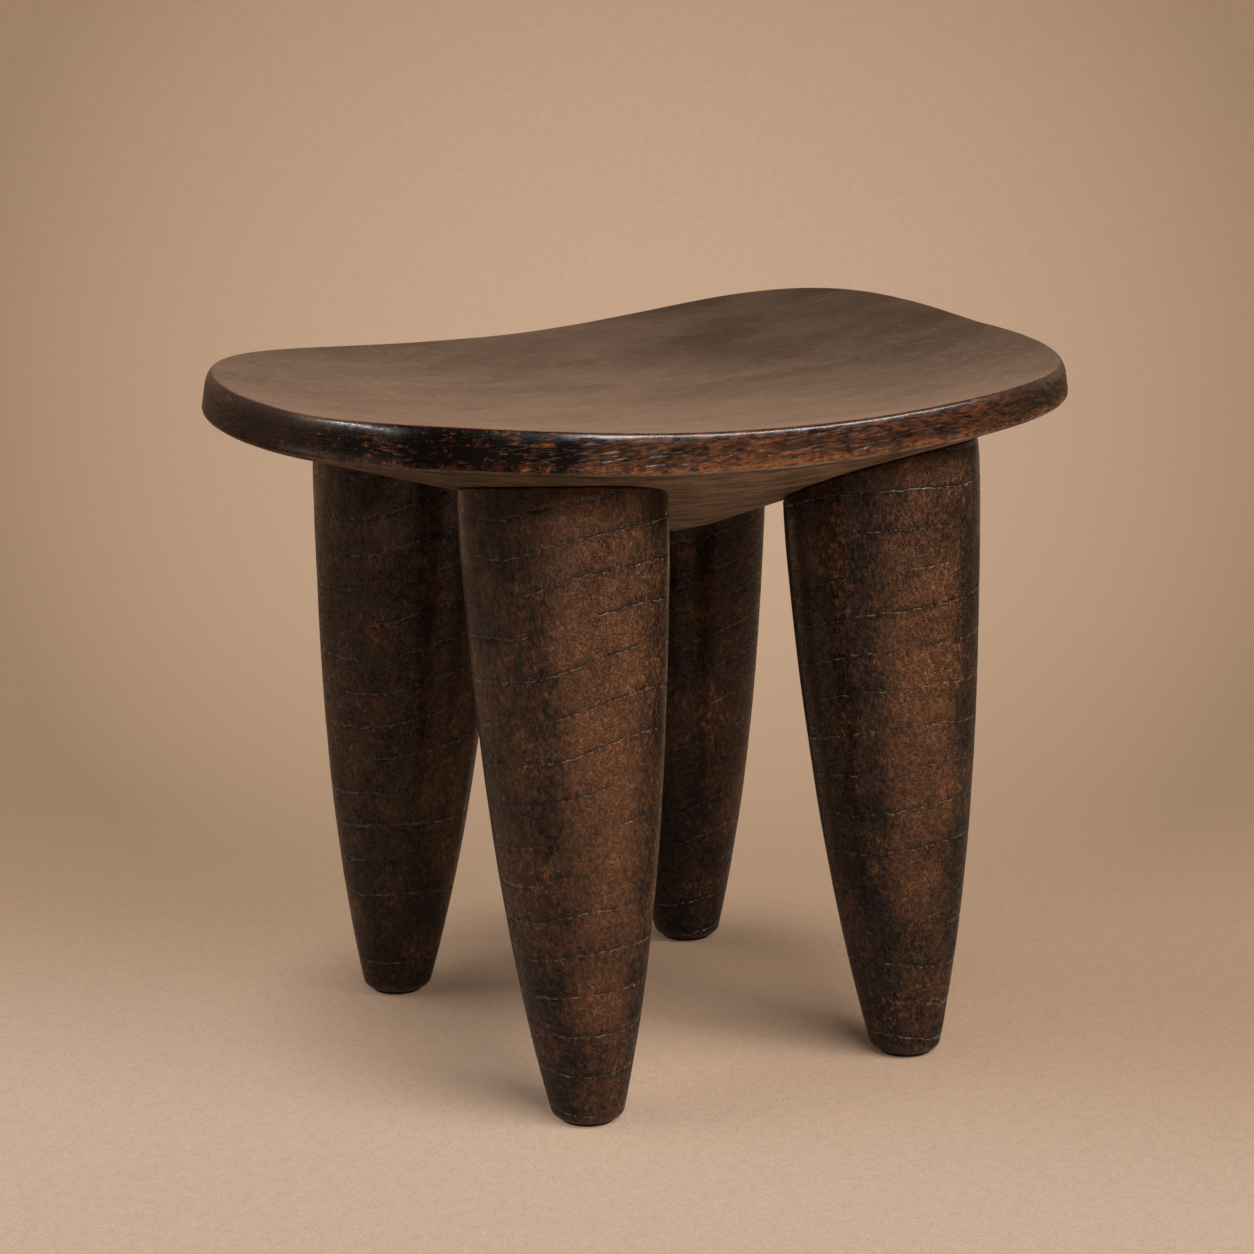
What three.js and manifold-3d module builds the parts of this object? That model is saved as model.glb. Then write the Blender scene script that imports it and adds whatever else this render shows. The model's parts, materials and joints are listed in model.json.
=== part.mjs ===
// Senufo stool, in millimetres with +Z up. The origin is on the floor under the middle of the
// seat, +X runs along the seat and -Y is its front.
//
// The seat is one thick plank: dished on top, with a belly carved on its underside. Four bullet
// shaped legs are let into the belly with round tenons. A wedge in each tenon spreads it in its
// blind mortise, and a thin pad is let in under each foot.

import * as THREE from 'three';
import Module from 'manifold-3d';
import { mergeVertices } from 'three/addons/utils/BufferGeometryUtils.js';

// Fits
const CLEARANCE = 0.3; // between pieces that touch or seat
const OVERRUN = 2; // how far a cutter runs past what it cuts

// Seat: the outline's size, and the height of the dish at its lowest point
const SEAT_LENGTH = 457;
const SEAT_WIDTH = 331;
const DISH_HEIGHT = 328;
const DISH_END_RISE = 24;
const DISH_SIDE_RISE = 16;

// The hand shaped outline: a rounded rectangle whose ends bow more than its sides
const SIDE_EXPONENT = 4.6;
const END_EXPONENT = 2.6;
const SKEW_SHARE = 0.06;
const COSINE_WANDER_SHARE = 0.007;
const SINE_WANDER_SHARE = 0.011;

// Rim: its face stands square to the dished top and is a little taller at the left end
const RIM_THICKNESS = 20;
const RIM_TAPER_SHARE = 0.055;
const RIM_TOP_RADIUS = 2.6;
const RIM_BOTTOM_RADIUS = 3;
const RIM_LEDGE = 2;

// Belly: an upside-down hipped mound that meets the rim's ledge
const BELLY_DEPTH = 67; // from the lowest point of the dish to that of the belly
const BELLY_POINT_SHARES = [0.059, -0.006]; // its lowest point, of half the seat's size
const BELLY_TIP_SHARE = 0.04; // how much of the mound's reach its rounded tip takes

// Legs: each has its full radius at the reference height
const LEG_HEIGHT = 310;
const LEG_TOP_RADIUS = 51.5;
const LEG_FOOT_RADIUS = 17;
const LEG_STRAIGHT_SHARE = 0.43; // 0 is a full bullet, 1 a plain cone
const FOOT_ARRIS_RADIUS = 4;

// The legs' names, in the order of the two tables after them
const PLACES = ['front_left', 'front_right', 'back_left', 'back_right'];

// Where each leg meets the seat, as shares of half the seat's length and width
const LEG_TOP_SHARES = [
  [-0.4945, -0.547],
  [0.328, -0.553],
  [-0.3875, 0.571],
  [0.328, 0.547],
];

// How far each foot stands out from under its leg's top, as shares of the leg's height
const LEG_RAKE_SHARES = [
  [0.002, -0.0565],
  [0.005, -0.087],
  [-0.011, 0.063],
  [0.05, 0.034],
];

// Tenon and its blind mortise
const TENON_RADIUS = 19;
const MORTISE_ROOF = 14; // wood left over the mortise
const TENON_END_GAP = 1.5;

// Wedge that spreads the tenon
const WEDGE_LENGTH = 20;
const WEDGE_INSET = 2; // from the tenon's round side to the wedge's edges
const WEDGE_HEAD = 4.5;
const WEDGE_TIP = 1.2;

// Foot pad
const PAD_RADIUS = 13.5;
const PAD_THICKNESS = 4;
const PAD_PROUD = 1.6; // how much of it shows under the foot
const PAD_ARRIS = 0.5;

// Facets
const RIM_STEPS = 92;
const DISH_STEPS = 7;
const BELLY_STEPS = 6;
const ARC_STEPS = 3;
const LEG_SIDES = 36;
const LEG_STEPS = 14;
const ROUND_SIDES = 28;

const wasm = await Module();
wasm.setup();

const HALF_LENGTH = SEAT_LENGTH / 2;
const HALF_WIDTH = SEAT_WIDTH / 2;
const BELLY_LOW_POINT = new THREE.Vector3(
  BELLY_POINT_SHARES[0] * HALF_LENGTH,
  BELLY_POINT_SHARES[1] * HALF_WIDTH,
  DISH_HEIGHT - BELLY_DEPTH,
);

// Steps from 0 to 1, both included
function steps(count) {
  return Array.from({ length: count + 1 }, (_, i) => i / count);
}

// A closed mesh as a manifold solid
function toSolid(geometry) {
  const bare = geometry.clone();
  bare.deleteAttribute('normal');
  bare.deleteAttribute('uv');
  const merged = mergeVertices(bare);
  const index = merged.index.array;
  const triangles = [];
  for (let i = 0; i < index.length; i += 3) {
    const [a, b, c] = index.subarray(i, i + 3);
    if (a !== b && b !== c && c !== a) triangles.push(a, b, c);
  }
  return new wasm.Manifold(new wasm.Mesh({
    numProp: 3,
    vertProperties: merged.attributes.position.array,
    triVerts: new Uint32Array(triangles),
  }));
}

// A manifold solid as a mesh
function toGeometry(solid) {
  const mesh = solid.getMesh();
  const geometry = new THREE.BufferGeometry();
  const positions = new Float32Array(mesh.vertProperties);
  geometry.setAttribute('position', new THREE.BufferAttribute(positions, mesh.numProp));
  geometry.setIndex(new THREE.BufferAttribute(new Uint32Array(mesh.triVerts), 1));
  geometry.computeVertexNormals();
  return geometry;
}

// A closed skin over sections that all run from one shared point to another
function skinOver(sections) {
  const rows = sections[0].length - 2;
  const positions = [];
  const index = [];
  positions.push(...sections[0][0]);
  for (const section of sections) section.slice(1, -1).forEach((point) => positions.push(...point));
  positions.push(...sections[0].at(-1));
  const first = 0;
  const last = 1 + sections.length * rows;
  sections.forEach((_, i) => {
    const here = 1 + i * rows;
    const next = 1 + ((i + 1) % sections.length) * rows;
    index.push(first, next, here);
    for (let row = 0; row < rows - 1; row++) {
      index.push(here + row, next + row, next + row + 1);
      index.push(here + row, next + row + 1, here + row + 1);
    }
    index.push(here + rows - 1, next + rows - 1, last);
  });
  const geometry = new THREE.BufferGeometry();
  geometry.setAttribute('position', new THREE.Float32BufferAttribute(positions, 3));
  geometry.setIndex(index);
  return geometry;
}

// An upright round bar between two heights
function bar(radius, low, high, sides = ROUND_SIDES) {
  return new THREE.CylinderGeometry(radius, radius, high - low, sides)
    .rotateX(Math.PI / 2)
    .translate(0, 0, (low + high) / 2);
}

// The seat's outline before it is brought to size
class HandShapedOutline extends THREE.Curve {
  getPoint(t, target = new THREE.Vector2()) {
    const angle = 2 * Math.PI * t;
    const [c, s] = [Math.cos(angle), Math.sin(angle)];
    const wander = 1 + SKEW_SHARE * Math.sin(2 * angle)
      + COSINE_WANDER_SHARE * Math.cos(3 * angle) + SINE_WANDER_SHARE * Math.sin(3 * angle);
    return target.set(
      Math.sign(c) * Math.abs(c) ** (2 / SIDE_EXPONENT) * wander,
      Math.sign(s) * Math.abs(s) ** (2 / END_EXPONENT) * wander,
    );
  }
}

// Evenly spaced points of the outline at its real size, centred on the origin
function outlinePoints() {
  const curve = new HandShapedOutline();
  curve.arcLengthDivisions = 20 * RIM_STEPS;
  const box = new THREE.Box2().setFromPoints(curve.getPoints(curve.arcLengthDivisions));
  const centre = box.getCenter(new THREE.Vector2());
  const half = box.getSize(new THREE.Vector2()).divideScalar(2);
  const real = new THREE.Vector2(HALF_LENGTH, HALF_WIDTH);
  const points = curve.getSpacedPoints(RIM_STEPS).slice(0, -1);
  return points.map((point) => point.sub(centre).divide(half).multiply(real));
}

// Height of the dished top
function dishHeight(x, y) {
  return DISH_HEIGHT + DISH_END_RISE * (x / HALF_LENGTH) ** 2 + DISH_SIDE_RISE * (y / HALF_WIDTH) ** 2;
}

// The way down the rim's face, which leans with the rise of the ends
function rimDown(x) {
  const slope = 2 * DISH_END_RISE * x / HALF_LENGTH ** 2;
  return new THREE.Vector3(slope, 0, -1).normalize();
}

// Height of the rim's face at a point of the outline
function rimHeight(edge) {
  return RIM_THICKNESS * (1 - RIM_TAPER_SHARE * edge.x / HALF_LENGTH);
}

// A point of the rim, so far in from the outline and so far down its face
function rimPoint(edge, outward, inset, drop) {
  const { x, y } = edge.clone().addScaledVector(outward, -inset);
  return new THREE.Vector3(x, y, dishHeight(x, y)).addScaledVector(rimDown(edge.x), drop);
}

// The underside from the belly's low point to the foot of the rim's face
function undersideSection(edge, outward) {
  const arris = steps(ARC_STEPS).map((share) => {
    const turn = share * Math.PI / 2;
    return rimPoint(
      edge,
      outward,
      RIM_BOTTOM_RADIUS * (1 - Math.sin(turn)),
      rimHeight(edge) - RIM_BOTTOM_RADIUS * (1 - Math.cos(turn)),
    );
  });
  const ledge = rimPoint(edge, outward, RIM_BOTTOM_RADIUS + RIM_LEDGE, rimHeight(edge));
  const blunt = Math.hypot(1, BELLY_TIP_SHARE) - BELLY_TIP_SHARE;
  const belly = steps(BELLY_STEPS).map((share) => {
    const rise = (Math.hypot(share, BELLY_TIP_SHARE) - BELLY_TIP_SHARE) / blunt;
    const point = BELLY_LOW_POINT.clone().lerp(ledge, share);
    return point.setZ(THREE.MathUtils.lerp(BELLY_LOW_POINT.z, ledge.z, rise));
  });
  return [...belly, ...arris];
}

// The rim's upper arris and the dish, from the rim's face to the middle of the top
function topSection(edge, outward) {
  const arris = steps(ARC_STEPS).map((share) => {
    const turn = share * Math.PI / 2;
    return rimPoint(
      edge,
      outward,
      RIM_TOP_RADIUS * (1 - Math.cos(turn)),
      RIM_TOP_RADIUS * (1 - Math.sin(turn)),
    );
  });
  const inner = edge.clone().addScaledVector(outward, -RIM_TOP_RADIUS);
  const dish = steps(DISH_STEPS).slice(1).map((share) => {
    const { x, y } = inner.clone().multiplyScalar(1 - share);
    return new THREE.Vector3(x, y, dishHeight(x, y));
  });
  return [...arris, ...dish];
}

const RIM = outlinePoints();
const OUTWARD = RIM.map((_, i) => {
  const along = RIM[(i + 1) % RIM.length].clone().sub(RIM.at(i - 1));
  return new THREE.Vector2(along.y, -along.x).normalize();
});

// The plank before it is mortised
function plank() {
  return skinOver(RIM.map((edge, i) => [
    ...undersideSection(edge, OUTWARD[i]),
    ...topSection(edge, OUTWARD[i]),
  ]));
}

// Everything over the underside, lowered by the clearance, to trim the legs to the belly
function overUnderside() {
  const lid = 2 * DISH_HEIGHT;
  const sections = RIM.map((edge, i) => {
    const underside = undersideSection(edge, OUTWARD[i]);
    return [...underside, underside.at(-1).clone().setZ(lid), new THREE.Vector3(0, 0, lid)];
  });
  return skinOver(sections).translate(0, 0, -CLEARANCE);
}

// Where a leg's axis stands at the seat and on the floor
function legTop(place) {
  const [x, y] = LEG_TOP_SHARES[PLACES.indexOf(place)];
  return new THREE.Vector2(x * HALF_LENGTH, y * HALF_WIDTH);
}

// From under a leg's top to its foot
function legRake(place) {
  return new THREE.Vector2(...LEG_RAKE_SHARES[PLACES.indexOf(place)]).multiplyScalar(LEG_HEIGHT);
}

function legFoot(place) {
  return legTop(place).add(legRake(place));
}

function mortiseTop(place) {
  const { x, y } = legTop(place);
  return dishHeight(x, y) - MORTISE_ROOF;
}

function seatGeometry() {
  let solid = toSolid(plank());
  for (const place of PLACES) {
    const { x, y } = legTop(place);
    const low = BELLY_LOW_POINT.z - OVERRUN;
    const mortise = bar(TENON_RADIUS + CLEARANCE, low, mortiseTop(place)).translate(x, y, 0);
    solid = solid.subtract(toSolid(mortise));
  }
  return toGeometry(solid);
}

// Radius of a leg at a height over the floor
function legRadius(height) {
  const share = Math.min(height / LEG_HEIGHT, 1);
  const swell = LEG_STRAIGHT_SHARE * share + (1 - LEG_STRAIGHT_SHARE) * (1 - (1 - share) ** 3);
  return LEG_FOOT_RADIUS + (LEG_TOP_RADIUS - LEG_FOOT_RADIUS) * swell;
}

// The bullet, longer than it will be, raked so that its sections stay level
function bullet(place) {
  const arris = steps(ARC_STEPS).map((share) => {
    const turn = share * Math.PI / 2;
    const height = PAD_PROUD + FOOT_ARRIS_RADIUS * (1 - Math.cos(turn));
    return new THREE.Vector2(legRadius(height) - FOOT_ARRIS_RADIUS * (1 - Math.sin(turn)), height);
  });
  const low = PAD_PROUD + FOOT_ARRIS_RADIUS;
  const side = steps(LEG_STEPS).slice(1).map((share) => {
    const height = low + (LEG_HEIGHT - low) * share ** 1.3;
    return new THREE.Vector2(legRadius(height), height);
  });
  const high = DISH_HEIGHT + DISH_END_RISE + DISH_SIDE_RISE;
  const profile = [
    new THREE.Vector2(0, PAD_PROUD),
    ...arris,
    ...side,
    new THREE.Vector2(LEG_TOP_RADIUS, high),
    new THREE.Vector2(0, high),
  ];
  const [x, y] = LEG_RAKE_SHARES[PLACES.indexOf(place)];
  const shear = new THREE.Matrix4().makeShear(0, 0, 0, 0, -x, -y);
  return new THREE.LatheGeometry(profile, LEG_SIDES).rotateX(Math.PI / 2).applyMatrix4(shear);
}

// The wedge's section between two heights, its faces moved out by a clearance
function wedgeBlock(place, width, grow, extra) {
  const head = mortiseTop(place) - CLEARANCE;
  const tip = head - WEDGE_LENGTH;
  const taper = (WEDGE_HEAD - WEDGE_TIP) / WEDGE_LENGTH / 2;
  const low = tip - grow;
  const high = head + extra;
  const half = (height) => WEDGE_TIP / 2 + grow + taper * (height - tip);
  const section = new THREE.Shape([
    new THREE.Vector2(-half(low), low),
    new THREE.Vector2(half(low), low),
    new THREE.Vector2(half(high), high),
    new THREE.Vector2(-half(high), high),
  ]);
  return new THREE.ExtrudeGeometry(section, { depth: width, bevelEnabled: false })
    .translate(0, 0, -width / 2)
    .rotateX(Math.PI / 2);
}

// A leg in its own frame, whose origin is on the floor under its foot
function legGeometry(place) {
  const foot = legFoot(place);
  const rake = legRake(place);
  const trim = toSolid(overUnderside().translate(-foot.x, -foot.y, 0));
  const tenonHigh = mortiseTop(place) - TENON_END_GAP;
  const tenon = bar(TENON_RADIUS, BELLY_LOW_POINT.z - LEG_TOP_RADIUS, tenonHigh);
  const kerf = wedgeBlock(place, 2 * (TENON_RADIUS + OVERRUN), CLEARANCE, OVERRUN);
  const recess = bar(PAD_RADIUS + CLEARANCE, PAD_PROUD - OVERRUN, PAD_THICKNESS + CLEARANCE);
  return toGeometry(toSolid(bullet(place))
    .subtract(trim)
    .add(toSolid(tenon.translate(-rake.x, -rake.y, 0)))
    .subtract(toSolid(kerf.translate(-rake.x, -rake.y, 0)))
    .subtract(toSolid(recess)));
}

function padGeometry() {
  const profile = [
    new THREE.Vector2(0, 0),
    new THREE.Vector2(PAD_RADIUS - PAD_ARRIS, 0),
    new THREE.Vector2(PAD_RADIUS, PAD_ARRIS),
    new THREE.Vector2(PAD_RADIUS, PAD_THICKNESS),
    new THREE.Vector2(0, PAD_THICKNESS),
  ];
  return new THREE.LatheGeometry(profile, ROUND_SIDES).rotateX(Math.PI / 2);
}

function seatWood() {
  return new THREE.MeshStandardMaterial({ color: 0x3a2418, roughness: 0.45 });
}

function legWood() {
  return new THREE.MeshStandardMaterial({ color: 0x2a180f, roughness: 0.55 });
}

function wedgeWood() {
  return new THREE.MeshStandardMaterial({ color: 0xa98458, roughness: 0.8 });
}

function padRubber() {
  return new THREE.MeshStandardMaterial({ color: 0x0c0b0a, roughness: 0.9 });
}

function piece(name, geometry, material) {
  const mesh = new THREE.Mesh(geometry, material);
  mesh.name = name;
  return mesh;
}

// A leg with its wedge and its pad, standing on the floor
function legGroup(place, finishes) {
  const group = new THREE.Group();
  const foot = legFoot(place);
  const rake = legRake(place);
  const width = 2 * (TENON_RADIUS - WEDGE_INSET);
  const wedge = piece(`wedge_${place}`, wedgeBlock(place, width, 0, 0), finishes.wedge);
  wedge.position.set(-rake.x, -rake.y, 0);
  group.add(piece(`leg_${place}`, legGeometry(place), finishes.leg));
  group.add(wedge);
  group.add(piece(`foot_pad_${place}`, padGeometry(), finishes.pad));
  group.position.set(foot.x, foot.y, 0);
  return group;
}

const legFinishes = { leg: legWood(), wedge: wedgeWood(), pad: padRubber() };
const stool = new THREE.Group();
stool.add(piece('seat', seatGeometry(), seatWood()));
for (const place of PLACES) stool.add(legGroup(place, legFinishes));

export default stool;
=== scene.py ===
"""A dark stained, hand carved low stool with a dished seat on four bullet shaped legs."""

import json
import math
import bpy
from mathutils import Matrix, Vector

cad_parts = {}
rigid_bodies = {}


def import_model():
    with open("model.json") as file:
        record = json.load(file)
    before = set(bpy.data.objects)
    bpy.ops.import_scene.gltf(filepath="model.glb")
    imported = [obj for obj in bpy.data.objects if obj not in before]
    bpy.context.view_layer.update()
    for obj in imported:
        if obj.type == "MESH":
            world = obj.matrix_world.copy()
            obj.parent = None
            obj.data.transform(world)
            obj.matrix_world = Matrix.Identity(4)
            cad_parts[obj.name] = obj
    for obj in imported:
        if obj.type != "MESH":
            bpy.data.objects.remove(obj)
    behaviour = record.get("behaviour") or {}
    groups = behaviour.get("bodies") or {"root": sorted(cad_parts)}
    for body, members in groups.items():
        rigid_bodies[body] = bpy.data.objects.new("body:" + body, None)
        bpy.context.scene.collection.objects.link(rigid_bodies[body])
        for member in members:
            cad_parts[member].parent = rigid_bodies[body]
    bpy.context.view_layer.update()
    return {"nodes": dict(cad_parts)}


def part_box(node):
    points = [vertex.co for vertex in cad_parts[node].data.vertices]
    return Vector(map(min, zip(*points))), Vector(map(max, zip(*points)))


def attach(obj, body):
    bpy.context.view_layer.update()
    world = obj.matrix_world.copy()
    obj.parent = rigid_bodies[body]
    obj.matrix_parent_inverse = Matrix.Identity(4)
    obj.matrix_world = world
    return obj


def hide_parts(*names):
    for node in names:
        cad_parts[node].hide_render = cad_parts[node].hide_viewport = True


bl_info = {
    "name": "Carved Low Stool",
    "version": (1, 0, 0),
    "blender": (4, 5, 0),
    "location": "View3D > Sidebar > Stool",
    "description": "Carves and stains a low wooden stool and sets it in a plain studio",
    "category": "Object",
}

import bpy
import numpy as np
from bpy.props import FloatProperty, FloatVectorProperty, IntProperty, PointerProperty
from mathutils import Euler, Vector

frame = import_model()

BODY = "root"
PLACES = ("front_left", "front_right", "back_left", "back_right")
PLACE_ATTRIBUTE = "carving_place"
# Per point: above 0 where the stain is polished, below 0 where it is darkened, as dirt and as
# painted shade
WEAR_AND_SHADE_ATTRIBUTE = "wear"


# Sizes and finishes


class SeatSizes(bpy.types.PropertyGroup):
    """The plank: its outline, its dish, its rim and the belly under it"""

    length: FloatProperty(name="Length", description="Along X", default=0.457, unit="LENGTH")
    width: FloatProperty(name="Width", description="Along Y", default=0.331, unit="LENGTH")
    side_exponent: FloatProperty(
        name="Side Exponent", description="Squareness of the long sides", default=4.6
    )
    end_exponent: FloatProperty(
        name="End Exponent", description="Squareness of the ends", default=2.6
    )
    skew: FloatProperty(name="Skew", description="How far the outline leans", default=0.06)
    dish_height: FloatProperty(
        name="Dish Height", description="Lowest point of the top", default=0.328, unit="LENGTH"
    )
    end_rise: FloatProperty(
        name="End Rise", description="Rise of the ends", default=0.024, unit="LENGTH"
    )
    side_rise: FloatProperty(
        name="Side Rise", description="Rise of the sides", default=0.016, unit="LENGTH"
    )
    rim: FloatProperty(
        name="Rim", description="Height of the rim's face", default=0.02, unit="LENGTH"
    )
    rim_taper: FloatProperty(
        name="Rim Taper", description="How much taller it is at the left", default=0.055
    )
    top_radius: FloatProperty(
        name="Top Arris", description="Rounding over the rim", default=0.0032, unit="LENGTH"
    )
    top_drop: FloatProperty(
        name="Top Arris Height", description="How far the rounding runs down",
        default=0.008, unit="LENGTH",
    )
    bottom_radius: FloatProperty(
        name="Lower Arris", description="Rounding under the rim", default=0.003, unit="LENGTH"
    )
    ledge: FloatProperty(
        name="Ledge", description="From the lower arris to the belly", default=0.002, unit="LENGTH"
    )
    crease: FloatProperty(
        name="Crease", description="Depth of the crease beside the belly",
        default=0.0014, unit="LENGTH",
    )
    belly_depth: FloatProperty(
        name="Belly Depth", description="From the dish to the belly's point",
        default=0.067, unit="LENGTH",
    )
    belly_point: FloatVectorProperty(
        name="Belly Point", description="Where the belly hangs lowest", size=2,
        default=(0.01348, -0.00099), subtype="XYZ", unit="LENGTH",
    )
    belly_tip: FloatProperty(
        name="Belly Tip", description="How blunt the belly's point is", default=0.04
    )
    wave: FloatProperty(
        name="Wave", description="Depth of the tool marks", default=0.0006, unit="LENGTH"
    )
    pore: FloatProperty(
        name="Pore", description="Depth of the pores in the rim", default=0.0004, unit="LENGTH"
    )
    columns: IntProperty(name="Columns", description="Facets round the rim", default=1200, min=48)


class LegSizes(bpy.types.PropertyGroup):
    """The legs: a bullet from the foot to the seat"""

    height: FloatProperty(
        name="Height", description="Where the radius is full", default=0.310, unit="LENGTH"
    )
    top_radius: FloatProperty(
        name="Top Radius", description="At the seat", default=0.0515, unit="LENGTH"
    )
    foot_radius: FloatProperty(
        name="Foot Radius", description="On the floor", default=0.017, unit="LENGTH"
    )
    straight_share: FloatProperty(
        name="Straight Share", description="1 is a plain cone", default=0.43
    )
    arris: FloatProperty(
        name="Foot Arris", description="Rounding of the foot", default=0.004, unit="LENGTH"
    )
    neck: FloatProperty(
        name="Neck", description="How far the top draws in", default=0.0012, unit="LENGTH"
    )
    shoulder: FloatProperty(
        name="Shoulder", description="Rounding under the seat", default=0.0016, unit="LENGTH"
    )
    gap: FloatProperty(name="Gap", description="Between two pieces", default=0.0003, unit="LENGTH")
    tenon_radius: FloatProperty(
        name="Tenon", description="Radius of the tenon", default=0.019, unit="LENGTH"
    )
    end_gap: FloatProperty(
        name="Tenon End Gap", description="Room over the tenon", default=0.0012, unit="LENGTH"
    )
    wave: FloatProperty(
        name="Wave", description="Depth of the tool marks", default=0.0005, unit="LENGTH"
    )
    crack: FloatProperty(
        name="Crack", description="Depth of the cracks", default=0.0005, unit="LENGTH"
    )
    sides: IntProperty(name="Sides", description="Facets round a leg", default=256, min=24)
    rings: IntProperty(name="Rings", description="Facets up a leg", default=320, min=24)


class StudioSettings(bpy.types.PropertyGroup):
    """The camera, the lamps and the floor"""

    camera_place: FloatVectorProperty(
        name="Camera", description="Where it stands", size=3, default=(-1.00556, -1.49081, 0.63831),
        subtype="XYZ", unit="LENGTH",
    )
    camera_turn: FloatVectorProperty(
        name="Camera Turn", description="Its tilt, roll and heading", size=3, subtype="EULER",
        default=tuple(math.radians(a) for a in (76.6416, 0.2447, -33.6222)),
    )
    lens: FloatProperty(name="Lens", description="Focal length in mm", default=102.19)
    floor_radius: FloatProperty(
        name="Floor Radius", description="Size of the floor", default=14.0, unit="LENGTH"
    )
    # The floor is painted from the first colour in front to the darker second one behind, a painted
    # falloff of the light
    floor_colour: FloatVectorProperty(
        name="Floor", description="Colour of the floor in front",
        size=3, default=(0.668, 0.471, 0.343), subtype="COLOR",
    )
    paper_colour: FloatVectorProperty(
        name="Paper", description="Colour of the floor behind",
        size=3, default=(0.488, 0.317, 0.204), subtype="COLOR",
    )
    backdrop_colour: FloatVectorProperty(
        name="Backdrop", description="Colour of the sweep",
        size=3, default=(0.352, 0.223, 0.138), subtype="COLOR",
    )
    glow_colour: FloatVectorProperty(
        name="Glow", description="Colour of the sweep's lit middle",
        size=3, default=(0.58, 0.387, 0.258), subtype="COLOR",
    )
    heading: FloatProperty(
        name="Heading", description="Which way the sweep lies from the stool",
        default=math.radians(56.4), subtype="ANGLE",
    )
    sky: FloatProperty(
        name="Soft Light", description="Strength of the light from all round", default=0.085
    )
    key: FloatProperty(name="Key", description="Power of the main softbox in watts", default=94.0)
    sparkle: FloatProperty(
        name="Sparkle", description="Power of the small front lamp in watts", default=21.0
    )
    fill: FloatProperty(name="Fill", description="Power of the left softbox in watts", default=7.0)
    kicker: FloatProperty(
        name="Kicker", description="Power of the back lamp in watts", default=10.0
    )


# Node trees written as formulas


class Signal:
    """A number socket that can be added, scaled and compared like a number"""

    def __init__(self, net, socket):
        self.net = net
        self.socket = socket

    def math(self, operation, *others):
        return self.net.math(operation, self, *others)

    def __add__(self, other):
        return self.math("ADD", other)

    def __radd__(self, other):
        return self.net.math("ADD", other, self)

    def __sub__(self, other):
        return self.math("SUBTRACT", other)

    def __rsub__(self, other):
        return self.net.math("SUBTRACT", other, self)

    def __mul__(self, other):
        return self.math("MULTIPLY", other)

    def __rmul__(self, other):
        return self.net.math("MULTIPLY", other, self)

    def __truediv__(self, other):
        return self.math("DIVIDE", other)

    def __rtruediv__(self, other):
        return self.net.math("DIVIDE", other, self)

    def __pow__(self, other):
        return self.math("POWER", other)

    def clamp(self):
        return self.ramp(0.0, 1.0)

    def ramp(self, low, high, kind="LINEAR"):
        """0 at low and 1 at high; low may be over high"""
        node = self.net.node(
            "ShaderNodeMapRange",
            {"Value": self, "From Min": low, "From Max": high},
            interpolation_type=kind,
        )
        return Signal(self.net, node.outputs["Result"])

    def soft(self, low, high):
        return self.ramp(low, high, "SMOOTHSTEP")


class Net:
    """Adds nodes to a tree and links what they are given"""

    def __init__(self, tree):
        self.tree = tree

    def node(self, kind, inputs=None, **settings):
        node = self.tree.nodes.new(kind)
        count = len(self.tree.nodes)
        node.location = (190 * (count // 8), -240 * (count % 8))
        for name, value in settings.items():
            setattr(node, name, value)
        self.feed(node, inputs or {})
        return node

    def feed(self, node, inputs):
        """Plugs these values into the node's named or numbered inputs"""
        for key, value in inputs.items():
            self.plug(value, node.inputs[key])

    def plug(self, value, socket):
        if isinstance(value, Signal):
            value = value.socket
        if isinstance(value, bpy.types.NodeSocket):
            self.tree.links.new(value, socket)
        else:
            socket.default_value = value

    def math(self, operation, *values):
        node = self.node("ShaderNodeMath", dict(enumerate(values)), operation=operation)
        return Signal(self, node.outputs[0])

    def split(self, vector):
        node = self.node("ShaderNodeSeparateXYZ", {0: vector})
        return [Signal(self, socket) for socket in node.outputs]

    def join(self, x, y, z):
        return self.node("ShaderNodeCombineXYZ", {0: x, 1: y, 2: z}).outputs[0]

    def vector(self, operation, *values, scale=None):
        inputs = dict(enumerate(values))
        if scale is not None:
            inputs["Scale"] = scale
        return self.node("ShaderNodeVectorMath", inputs, operation=operation).outputs[0]

    def noise(self, place, size, detail=2.0, roughness=0.5, distortion=0.0, shift=0.0):
        """Noise from 0 to 1 whose features have this size, or one for each axis"""
        sizes = size if isinstance(size, tuple) else (size,) * 3
        finer = tuple(1 / s for s in sizes)
        scaled = self.vector("MULTIPLY_ADD", place, finer, (shift, -shift, shift))
        node = self.node(
            "ShaderNodeTexNoise",
            {"Vector": scaled, "Scale": 1.0, "Detail": detail, "Roughness": roughness,
             "Distortion": distortion},
        )
        return Signal(self, node.outputs[0])

    def mix_colour(self, share, first, second):
        node = self.node("ShaderNodeMix", {0: share, 6: first, 7: second}, data_type="RGBA")
        return node.outputs[2]

    def mix_shader(self, share, first, second):
        return self.node(
            "ShaderNodeMixShader", {0: share, 1: first.outputs[0], 2: second.outputs[0]}
        )

    def store(self, geometry, name, value, kind="FLOAT_VECTOR"):
        """The geometry with a named value kept on its points"""
        return self.node(
            "GeometryNodeStoreNamedAttribute",
            {"Geometry": geometry, "Name": name, "Value": value},
            data_type=kind,
        ).outputs[0]

    def stored(self, name):
        """The vector that was kept under this name"""
        return self.node(
            "GeometryNodeInputNamedAttribute", {"Name": name}, data_type="FLOAT_VECTOR"
        ).outputs[0]


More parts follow.
